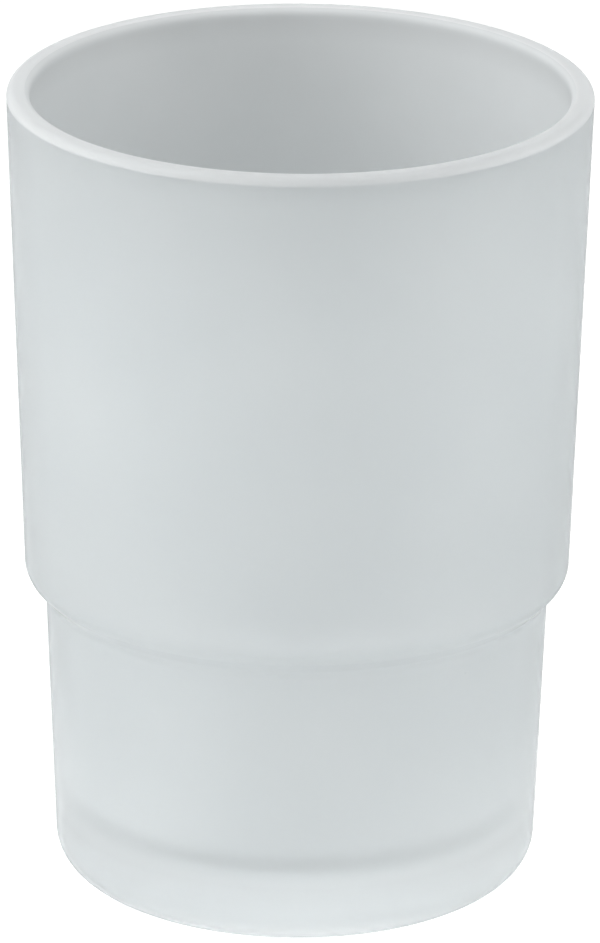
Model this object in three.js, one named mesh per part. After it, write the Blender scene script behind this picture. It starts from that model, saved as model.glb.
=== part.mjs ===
// A frosted glass tumbler for toothbrushes, shaped to hang in the ring of a wall bracket.
// It is one pressed body of glass with no other piece: a flared upper body, a shoulder that rests on
// the ring, a narrower lower body that passes through it, and a thick floor on a shallow foot.
// It stands on z = 0 with its axis on +Z. Lengths are in millimetres and angles in degrees.

import * as THREE from "three";

// Outside of the glass
const HEIGHT = 96; // foot plane to the top of the rim
const RIM_DIAMETER = 68; // outside, at the rim
const SEAT_HEIGHT = 34.8; // foot plane to the lower edge of the seat, the underside of the shoulder
const SEAT_RISE = 2.4; // height of the seat, whose slope centres the glass in the ring
const SHOULDER_STEP = 2.4; // how far the shoulder stands out over the lower body
const UPPER_DRAFT = 1.9; // slope of the upper body, which lets the glass leave its mould
const LOWER_DRAFT = 2.2; // slope of the lower body

// Thickness of the glass
const WALL = 2.7; // side walls, measured square to the wall
const FLOOR_THICKNESS = 7.7; // foot plane to the inner floor

// Foot
const FOOT_RING_WIDTH = 4; // flat ring that the glass stands on
const PUNT_DEPTH = 0.8; // shallow hollow inside that ring, at the axis

// Roundings
const RIM_RADIUS = 1; // both edges of the fire-polished rim
const SHOULDER_RADIUS = 2; // edge between the upper body and the seat
const SEAT_RADIUS = 2; // hollow corner between the seat and the lower body
const HEEL_RADIUS = 4; // edge between the lower body and the foot
const LEDGE_RADIUS = 2; // both edges of the inner ledge, behind the seat
const FLOOR_RADIUS = 3.5; // corner between the inner wall and the inner floor

// Facets
const TURN_STEPS = 72; // facets around the axis
const ARC_STEP = 15; // widest angle that one chord of a rounding spans
const PUNT_STEPS = 4; // chords across the hollow of the foot

const FROSTED_GLASS = { color: 0xd2dbdd, roughness: 0.55, metalness: 0 };

// The change in radius of a sloped wall over a rise.
function flare(rise, draft) {
  return rise * Math.tan(THREE.MathUtils.degToRad(draft));
}

// How much smaller the inner radius of a sloped wall is than the outer one, at the same height.
function wallAcross(draft) {
  return WALL / Math.cos(THREE.MathUtils.degToRad(draft));
}

// Points of the arc that rounds a corner off, touching both of the corner's sides.
// The radius is limited so that the arc uses at most half of the shorter side.
function roundedCorner(before, corner, after, radius) {
  const toBefore = before.clone().sub(corner);
  const toAfter = after.clone().sub(corner);
  const shorterSide = Math.min(toBefore.length(), toAfter.length());
  toBefore.normalize();
  toAfter.normalize();
  const halfAngle = Math.acos(THREE.MathUtils.clamp(toBefore.dot(toAfter), -1, 1)) / 2;
  const tangent = Math.min(radius / Math.tan(halfAngle), shorterSide / 2);
  const fittedRadius = tangent * Math.tan(halfAngle);
  const start = corner.clone().addScaledVector(toBefore, tangent);
  const end = corner.clone().addScaledVector(toAfter, tangent);
  const towardCentre = toBefore.clone().add(toAfter).normalize();
  const centre = corner.clone().addScaledVector(towardCentre, fittedRadius / Math.sin(halfAngle));

  const startAngle = start.clone().sub(centre).angle();
  const turn = Math.PI - 2 * halfAngle;
  const side = Math.sign(start.clone().sub(centre).cross(end.clone().sub(centre)));
  const chords = Math.max(1, Math.ceil(turn / THREE.MathUtils.degToRad(ARC_STEP)));
  const arc = new THREE.EllipseCurve(
    centre.x, centre.y, fittedRadius, fittedRadius, startAngle, startAngle + side * turn, side < 0,
  );
  return arc.getPoints(chords);
}

// The hollow under the foot: a shallow spherical cap from the axis out to the foot ring.
function puntPoints(ringInnerRadius) {
  const capRadius = (ringInnerRadius ** 2 + PUNT_DEPTH ** 2) / (2 * PUNT_DEPTH);
  const capCentreHeight = PUNT_DEPTH - capRadius;
  const halfSpan = Math.asin(ringInnerRadius / capRadius);
  const points = [];
  for (let step = 0; step <= PUNT_STEPS; step++) {
    const angle = (halfSpan * step) / PUNT_STEPS;
    points.push(
      new THREE.Vector2(capRadius * Math.sin(angle), capCentreHeight + capRadius * Math.cos(angle)),
    );
  }
  return points;
}

// Half of the tumbler's section, as x = radius and y = height. It runs from the axis under the foot,
// up the outside, over the rim and down the inside to the axis at the inner floor.
function section() {
  const rim = RIM_DIAMETER / 2;
  const shoulderHeight = SEAT_HEIGHT + SEAT_RISE;
  const shoulder = rim - flare(HEIGHT - shoulderHeight, UPPER_DRAFT);
  const seat = shoulder - SHOULDER_STEP;
  const foot = seat - flare(SEAT_HEIGHT, LOWER_DRAFT);
  const footRingOuter = foot - HEEL_RADIUS;
  const footRingInner = footRingOuter - FOOT_RING_WIDTH;

  const upperInside = (height) => rim - flare(HEIGHT - height, UPPER_DRAFT) - wallAcross(UPPER_DRAFT);
  const lowerInside = (height) => seat - flare(SEAT_HEIGHT - height, LOWER_DRAFT) - wallAcross(LOWER_DRAFT);
  // The inner ledge runs along the seat, a wall's thickness away from it.
  const seatSlope = Math.atan2(SHOULDER_STEP, SEAT_RISE);
  const ledgeLift = WALL * Math.tan(seatSlope / 2);
  const ledgeFoot = SEAT_HEIGHT + ledgeLift;
  const ledgeTop = shoulderHeight + ledgeLift;

  const corners = [
    { radius: foot, height: 0, rounding: HEEL_RADIUS },
    { radius: seat, height: SEAT_HEIGHT, rounding: SEAT_RADIUS },
    { radius: shoulder, height: shoulderHeight, rounding: SHOULDER_RADIUS },
    { radius: rim, height: HEIGHT, rounding: RIM_RADIUS },
    { radius: upperInside(HEIGHT), height: HEIGHT, rounding: RIM_RADIUS },
    { radius: upperInside(ledgeTop), height: ledgeTop, rounding: LEDGE_RADIUS },
    { radius: lowerInside(ledgeFoot), height: ledgeFoot, rounding: LEDGE_RADIUS },
    { radius: lowerInside(FLOOR_THICKNESS), height: FLOOR_THICKNESS, rounding: FLOOR_RADIUS },
  ];
  const punt = puntPoints(footRingInner);
  const floorCentre = new THREE.Vector2(0, FLOOR_THICKNESS);
  const at = corners.map((corner) => new THREE.Vector2(corner.radius, corner.height));
  const neighbours = [punt.at(-1), ...at, floorCentre];
  const rounded = corners.flatMap((corner, i) =>
    roundedCorner(neighbours[i], at[i], neighbours[i + 2], corner.rounding),
  );
  return [...punt, ...rounded, floorCentre];
}

// The glass body: the section turned about its axis, which is then stood up along +Z.
function tumbler() {
  const geometry = new THREE.LatheGeometry(section(), TURN_STEPS);
  geometry.rotateX(Math.PI / 2);
  const glass = new THREE.Mesh(geometry, new THREE.MeshStandardMaterial(FROSTED_GLASS));
  glass.name = "tumbler";
  return glass;
}

const part = new THREE.Group();
part.name = "toothbrush_tumbler";
part.add(tumbler());

export default part;
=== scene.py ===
"""A frosted glass toothbrush tumbler, which hangs by its shoulder in the ring of a wall bracket."""

import math

import bmesh
import bpy
from mathutils import Matrix, Vector


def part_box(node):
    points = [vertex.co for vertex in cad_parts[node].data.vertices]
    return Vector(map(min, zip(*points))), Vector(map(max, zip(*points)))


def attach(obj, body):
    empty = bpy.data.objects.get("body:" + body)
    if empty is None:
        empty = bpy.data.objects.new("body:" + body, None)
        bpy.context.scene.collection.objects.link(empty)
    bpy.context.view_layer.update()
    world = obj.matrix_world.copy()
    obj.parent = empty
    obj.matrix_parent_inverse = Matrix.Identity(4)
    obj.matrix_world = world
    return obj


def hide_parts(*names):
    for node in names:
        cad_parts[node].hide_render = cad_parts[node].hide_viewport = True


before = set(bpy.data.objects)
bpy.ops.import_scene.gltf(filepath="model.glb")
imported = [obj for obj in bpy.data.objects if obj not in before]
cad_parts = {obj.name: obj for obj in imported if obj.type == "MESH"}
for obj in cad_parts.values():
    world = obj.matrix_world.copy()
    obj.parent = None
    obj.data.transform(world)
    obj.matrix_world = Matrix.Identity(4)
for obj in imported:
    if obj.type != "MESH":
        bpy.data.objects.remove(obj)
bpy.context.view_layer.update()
scene = bpy.context.scene
scene.view_settings.view_transform = "Standard"

# Tumbler
# The whole object is one piece of pressed glass, etched in acid inside and out until it is satin.
# The mould gives the outside with its sloping seat, by which the tumbler hangs, and the hollowed foot.
# The plunger gives the inside with its ledge and thick floor, and a flame rounds the rim.
MM = 0.001
low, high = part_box("tumbler")
height = high.z - low.z
seat_height = 34.8 * MM
seat_rise = 2.4 * MM
shoulder_step = 2.4 * MM
upper_draft = math.tan(math.radians(1.9))
lower_draft = math.tan(math.radians(2.2))
wall = 2.7 * MM
floor_height = 7.7 * MM
foot_ring_width = 4 * MM
punt_depth = 0.8 * MM
heel_rounding = 4 * MM
seat_rounding = 0.87 * MM
rim_rounding = 1 * MM
floor_rounding = 3.5 * MM

rim_radius = (high.x - low.x) / 2 + rim_rounding * upper_draft
shoulder_height = seat_height + seat_rise
shoulder_radius = rim_radius - (height - shoulder_height) * upper_draft
seat_radius = shoulder_radius - shoulder_step
foot_radius = seat_radius - seat_height * lower_draft
ring_radius = foot_radius - heel_rounding - foot_ring_width
# Just under half the ring's radius, so that the hollow of the foot is nearly one curve.
punt_rounding = ring_radius * 0.49
# The ledge runs along the seat, a wall's thickness away from it.
ledge_lift = wall * math.tan(math.atan2(shoulder_step, seat_rise) / 2)
ledge_height = seat_height + ledge_lift
ledge_top = shoulder_height + ledge_lift
ledge_out = rim_radius - wall - (height - ledge_top) * upper_draft
ledge_in = seat_radius - wall + (ledge_height - seat_height) * lower_draft
floor_radius = seat_radius - wall - (seat_height - floor_height) * lower_draft

# Each corner is its radius from the axis, its height, and how far its rounding reaches along both sides.
corners = [
    (0, punt_depth, 0),
    (ring_radius / 2, punt_depth, punt_rounding),
    (ring_radius, 0, 0),
    (foot_radius, 0, heel_rounding),
    (seat_radius, seat_height, seat_rounding),
    (shoulder_radius, shoulder_height, seat_rounding),
    (rim_radius, height, rim_rounding),
    (rim_radius - wall, height, rim_rounding),
    (ledge_out, ledge_top, seat_rounding),
    (ledge_in, ledge_height, seat_rounding),
    (floor_radius, floor_height, floor_rounding),
    (0, floor_height, 0),
]
rounding_steps = 10
turning_steps = 180
longest_edge = 2 * MM
same_point = 0.001 * MM
glass = bmesh.new()
points = [glass.verts.new((radius, 0, z)) for radius, z, _ in corners]
for start, end in zip(points, points[1:]):
    glass.edges.new((start, end))
for point, (_, _, rounding) in zip(points, corners):
    if rounding:
        bmesh.ops.bevel(glass, geom=[point], offset=rounding, affect="VERTICES",
                        segments=rounding_steps, profile=0.5, material=-1)
for edge in [edge for edge in glass.edges if edge.calc_length() > longest_edge]:
    bmesh.ops.subdivide_edges(glass, edges=[edge], cuts=int(edge.calc_length() / longest_edge))
bmesh.ops.spin(glass, geom=glass.verts[:] + glass.edges[:], axis=(0, 0, 1), cent=(0, 0, 0),
               angle=math.tau, steps=turning_steps, use_merge=True)
bmesh.ops.remove_doubles(glass, verts=glass.verts, dist=same_point)
bmesh.ops.recalc_face_normals(glass, faces=glass.faces)

# The mould's side faces out and down, and the plunger's side in and up.
# The rim's own finish lies between them, and ends where the inner rounding leans in past rim_lean.
mould_finish, plunger_finish, rim_finish = 0, 1, 2
rim_lean = 0.5
for face in glass.faces:
    face.smooth = True
    centre = face.calc_center_median()
    lean_in = -face.normal.xy.dot(centre.xy.normalized())
    if centre.z > height - rim_rounding and lean_in < rim_lean:
        face.material_index = rim_finish
    elif face.normal.z > 0:
        face.material_index = plunger_finish
    else:
        face.material_index = mould_finish
tumbler_mesh = bpy.data.meshes.new("tumbler_glass")
glass.to_mesh(tumbler_mesh)
glass.free()
tumbler = bpy.data.objects.new("tumbler_glass", tumbler_mesh)
scene.collection.objects.link(tumbler)

# The frost: soft clouds where the acid bit deeper, a fine crystal grain, and a few tiny pits.
# It also gives the height up the tumbler, from 0 at the foot to 1 at the rim.
cloud_detail, grain_detail = 3, 1
pit_core, pit_edge = 0.006, 0.014
etched = bpy.data.node_groups.new("Etched frost", "ShaderNodeTree")
for socket_name in ("Cloud Scale", "Grain Scale", "Pit Scale"):
    etched.interface.new_socket(socket_name, in_out="INPUT", socket_type="NodeSocketFloat")
for socket_name in ("Cloud", "Grain", "Pits", "Height"):
    etched.interface.new_socket(socket_name, in_out="OUTPUT", socket_type="NodeSocketFloat")
etched_in = etched.nodes.new("NodeGroupInput")
etched_out = etched.nodes.new("NodeGroupOutput")
place = etched.nodes.new("ShaderNodeTexCoord")
for socket_name, detail in (("Cloud", cloud_detail), ("Grain", grain_detail)):
    noise = etched.nodes.new("ShaderNodeTexNoise")
    noise.inputs["Detail"].default_value = detail
    etched.links.new(place.outputs["Object"], noise.inputs["Vector"])
    etched.links.new(etched_in.outputs[f"{socket_name} Scale"], noise.inputs["Scale"])
    etched.links.new(noise.outputs["Fac"], etched_out.inputs[socket_name])
cells = etched.nodes.new("ShaderNodeTexVoronoi")
pit = etched.nodes.new("ShaderNodeMapRange")
pit.inputs["From Min"].default_value = pit_core
pit.inputs["From Max"].default_value = pit_edge
pit.inputs["To Min"].default_value = 1
pit.inputs["To Max"].default_value = 0
etched.links.new(place.outputs["Object"], cells.inputs["Vector"])
etched.links.new(etched_in.outputs["Pit Scale"], cells.inputs["Scale"])
etched.links.new(cells.outputs["Distance"], pit.inputs["Value"])
etched.links.new(pit.outputs["Result"], etched_out.inputs["Pits"])
axes = etched.nodes.new("ShaderNodeSeparateXYZ")
up_the_wall = etched.nodes.new("ShaderNodeMapRange")
up_the_wall.inputs["From Max"].default_value = height
etched.links.new(place.outputs["Object"], axes.inputs["Vector"])
etched.links.new(axes.outputs["Z"], up_the_wall.inputs["Value"])
etched.links.new(up_the_wall.outputs["Result"], etched_out.inputs["Height"])

clouds_per_metre = 60
grains_per_metre = 4000
pits_per_metre = 55
satin_spread = 0.05
grain_strength = 0.15
grain_depth = 0.02 * MM
glass_ior = 1.52


def frosted_glass(name, deep, pale, pitted, transmission, roughness):
    """Etched glass: its colour drifts between deep and pale with the clouds, and is pitted in the pits."""
    material = bpy.data.materials.new(name)
    material.use_nodes = True
    nodes = material.node_tree.nodes
    links = material.node_tree.links
    shader = nodes["Principled BSDF"]
    frost = nodes.new("ShaderNodeGroup")
    frost.name = "frost"
    frost.node_tree = etched
    frost.inputs["Cloud Scale"].default_value = clouds_per_metre
    frost.inputs["Grain Scale"].default_value = grains_per_metre
    frost.inputs["Pit Scale"].default_value = pits_per_metre
    drift = nodes.new("ShaderNodeMix")
    drift.data_type = "RGBA"
    drift.inputs["A"].default_value = (*deep, 1)
    drift.inputs["B"].default_value = (*pale, 1)
    links.new(frost.outputs["Cloud"], drift.inputs["Factor"])
    speck = nodes.new("ShaderNodeMix")
    speck.data_type = "RGBA"
    speck.inputs["B"].default_value = (*pitted, 1)
    links.new(frost.outputs["Pits"], speck.inputs["Factor"])
    links.new(drift.outputs["Result"], speck.inputs["A"])
    links.new(speck.outputs["Result"], shader.inputs["Base Color"])
    satin = nodes.new("ShaderNodeMapRange")
    satin.inputs["To Min"].default_value = roughness - satin_spread
    satin.inputs["To Max"].default_value = roughness + satin_spread
    links.new(frost.outputs["Grain"], satin.inputs["Value"])
    links.new(satin.outputs["Result"], shader.inputs["Roughness"])
    grain = nodes.new("ShaderNodeBump")
    grain.inputs["Strength"].default_value = grain_strength
    grain.inputs["Distance"].default_value = grain_depth
    links.new(frost.outputs["Grain"], grain.inputs["Height"])
    links.new(grain.outputs["Normal"], shader.inputs["Normal"])
    shader.inputs["IOR"].default_value = glass_ior
    shader.inputs["Transmission Weight"].default_value = transmission
    return material


# The outside lets all light in, the inside scatters most of it back, and the rim does some of both.
etched_outside = frosted_glass(
    "etched_outside", deep=(0.93, 0.95, 0.96), pale=(0.985, 1.0, 1.0), pitted=(0.86, 0.88, 0.89),
    transmission=1.0, roughness=0.65)
# The inside's colours are a shade greyer than the outside's, which is painted shade for the dimmer inside
# of the cup.
etched_inside = frosted_glass(
    "etched_inside", deep=(0.88, 0.91, 0.917), pale=(0.965, 0.99, 0.997), pitted=(0.64, 0.66, 0.665),
    transmission=0.11, roughness=0.8)
etched_rim = frosted_glass(
    "etched_rim", deep=(0.94, 0.96, 0.97), pale=(0.985, 1.0, 1.0), pitted=(0.86, 0.88, 0.89),
    transmission=0.44, roughness=0.65)
for finish in (etched_outside, etched_inside, etched_rim):
    tumbler_mesh.materials.append(finish)


def darken_by_height(material, shares):
    """Darkens the colour by height: a share is how much of its colour is left at that height."""
    nodes = material.node_tree.nodes
    links = material.node_tree.links
    base_colour = nodes["Principled BSDF"].inputs["Base Color"]
    frost_colour = base_colour.links[0].from_socket
    ramp = nodes.new("ShaderNodeValToRGB")
    stops = ramp.color_ramp.elements
    for z, share in shares:
        stops.new(z / height).color = (share, share, share, 1)
    # A new ramp has a stop of its own at each end, and these two go.
    stops.remove(stops[0])
    stops.remove(stops[-1])
    darkened_colour = nodes.new("ShaderNodeMix")
    darkened_colour.data_type = "RGBA"
    darkened_colour.blend_type = "MULTIPLY"
    darkened_colour.inputs["Factor"].default_value = 1
    links.new(nodes["frost"].outputs["Height"], ramp.inputs["Fac"])
    links.new(frost_colour, darkened_colour.inputs["A"])
    links.new(ramp.outputs["Color"], darkened_colour.inputs["B"])
    links.new(darkened_colour.outputs["Result"], base_colour)


# Inside, painted shade darkens the walls: most in the round corner of the floor and close under the rim,
# less up the middle, and not on the floor itself.
darken_by_height(etched_inside, [
    (floor_height + 0.02 * MM, 1.0),
    (floor_height + 0.5 * MM, 0.74),
    (floor_height + 1.6 * MM, 0.67),
    (floor_height + 2.6 * MM, 0.76),
    (floor_height + 3.6 * MM, 0.865),
    (ledge_top + 2 * MM, 0.845),
    (height - 36 * MM, 0.86),
    (height - 21 * MM, 0.845),
    (height - 12 * MM, 0.81),
    (height - 8 * MM, 0.785),
    (height - 4 * MM, 0.755),
    (height - 1.5 * MM, 0.68),
    (height - 0.9 * MM, 0.71),
    (height - 0.2 * MM, 0.93),
])
# Outside, painted shade darkens a band beside the thick floor, and the colour is also darker at the very
# foot.
darken_by_height(etched_outside, [
    (0.3 * MM, 0.9),
    (2 * MM, 1.0),
    (4.5 * MM, 1.0),
    (7.5 * MM, 0.89),
    (9 * MM, 0.94),
    (13 * MM, 1.0),
])
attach(tumbler, "root")
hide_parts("tumbler")

# Studio table
# A wide round table top in matt white paint, on which the tumbler stands.
# Only the camera and the glass see its glow, which brings the paint up to white.
table_reach = 8
table_sides = 96
under_glass = 0.3 * MM
table_white = 0.6
glow = 0.625
top = bmesh.new()
bmesh.ops.create_circle(top, cap_ends=True, segments=table_sides, radius=table_reach)
bmesh.ops.translate(top, verts=top.verts, vec=(0, 0, -under_glass))
table_mesh = bpy.data.meshes.new("table")
top.to_mesh(table_mesh)
top.free()
table = bpy.data.objects.new("table", table_mesh)
scene.collection.objects.link(table)

white_paint = bpy.data.materials.new("white_paint")
white_paint.use_nodes = True
white_paint.cycles.emission_sampling = "NONE"
nodes = white_paint.node_tree.nodes
links = white_paint.node_tree.links
paint = nodes["Principled BSDF"]
paint.inputs["Base Color"].default_value = (table_white, table_white, table_white, 1)
paint.inputs["Roughness"].default_value = 1
paint.inputs["Specular IOR Level"].default_value = 0
paint.inputs["Emission Color"].default_value = (1, 1, 1, 1)
ray = nodes.new("ShaderNodeLightPath")
seen = nodes.new("ShaderNodeMath")
seen.operation = "MAXIMUM"
seen_through = nodes.new("ShaderNodeMath")
seen_through.operation = "MAXIMUM"
shown = nodes.new("ShaderNodeMath")
shown.operation = "MULTIPLY"
shown.inputs[1].default_value = glow
links.new(ray.outputs["Is Camera Ray"], seen.inputs[0])
links.new(ray.outputs["Is Glossy Ray"], seen.inputs[1])
links.new(ray.outputs["Is Transmission Ray"], seen_through.inputs[0])
links.new(seen.outputs["Value"], seen_through.inputs[1])
links.new(seen_through.outputs["Value"], shown.inputs[0])
links.new(shown.outputs["Value"], paint.inputs["Emission Strength"])
table_mesh.materials.append(white_paint)

# Studio cards
# Two plain grey cards lie on the table outside the picture, and only the glass sees them.
# Its edges mirror them instead of the white table, and so stand out from the background.
card_near, card_far = 0.055, 0.35
card_front, card_back = -0.05, 0.45
card_grey = 0.52
half_metre = 0.5
card_paint = bpy.data.materials.new("card_paint")
card_paint.use_nodes = True
paper = card_paint.node_tree.nodes["Principled BSDF"]
paper.inputs["Base Color"].default_value = (card_grey, card_grey, card_grey, 1)
paper.inputs["Roughness"].default_value = 1
paper.inputs["Specular IOR Level"].default_value = 0
for name, side in (("left_card", -1), ("right_card", 1)):
    sheet = bmesh.new()
    bmesh.ops.create_grid(sheet, x_segments=1, y_segments=1, size=half_metre)
    bmesh.ops.scale(sheet, verts=sheet.verts, vec=(card_far - card_near, card_back - card_front, 1))
    bmesh.ops.translate(sheet, verts=sheet.verts,
                        vec=(side * (card_near + card_far) / 2, (card_front + card_back) / 2, 0))
    card_mesh = bpy.data.meshes.new(name)
    sheet.to_mesh(card_mesh)
    sheet.free()
    card_mesh.materials.append(card_paint)
    card = bpy.data.objects.new(name, card_mesh)
    card.visible_camera = False
    card.visible_diffuse = False
    card.visible_shadow = False
    scene.collection.objects.link(card)

# Studio light
# Square softboxes in a grey room: the strongest at the left, one at the right, and weak ones
# in front, behind and overhead. Each has its angle round from the front, its angle up and its watts.
middle = Vector((0, 0, height / 2))
softbox_distance = 0.7
softbox_size = 0.45
room_grey = 0.435
softboxes = {
    "left": (280, 25, 2.55),
    "right": (88, 16, 1.9),
    "front": (0, 15, 0.32),
    "back": (180, 10, 0.76),
    "top": (0, 90, 0.41),
}
for name, (azimuth, elevation, watts) in softboxes.items():
    turn = math.radians(azimuth)
    lift = math.radians(elevation)
    toward = Vector((math.sin(turn) * math.cos(lift), -math.cos(turn) * math.cos(lift), math.sin(lift)))
    softbox = bpy.data.lights.new(name, "AREA")
    softbox.size = softbox_size
    softbox.energy = watts
    lamp = bpy.data.objects.new(name, softbox)
    lamp.location = middle + toward * softbox_distance
    lamp.rotation_euler = (-toward).to_track_quat("-Z", "Y").to_euler()
    lamp.visible_camera = False
    scene.collection.objects.link(lamp)

world = bpy.data.worlds.new("grey_room")
world.use_nodes = True
world.node_tree.nodes["Background"].inputs["Color"].default_value = (room_grey, room_grey, room_grey, 1)
scene.world = world

# Light bounces many times between the walls of thick frosted glass.
scene.cycles.max_bounces = 24
scene.cycles.glossy_bounces = 16
scene.cycles.diffuse_bounces = 8
scene.cycles.transmission_bounces = 24

# Camera
# A long lens looks down on the tumbler from the front and fills the picture with it.
# It is rolled by less than half a degree.
aim = Vector((0.287, 0, 48.661)) * MM
camera_height = math.radians(20.374)
camera_roll = math.radians(0.452)
camera_distance = 0.9
camera_data = bpy.data.cameras.new("camera")
camera_data.lens = 292.27
camera = bpy.data.objects.new("camera", camera_data)
scene.collection.objects.link(camera)
away = Vector((0, -math.cos(camera_height), math.sin(camera_height)))
level = Vector((1, 0, 0))
above = away.cross(level)
right = math.cos(camera_roll) * level + math.sin(camera_roll) * above
up = away.cross(right)
camera.matrix_world = (Matrix.Translation(aim + away * camera_distance)
                       @ Matrix((right, up, away)).transposed().to_4x4())
scene.camera = camera
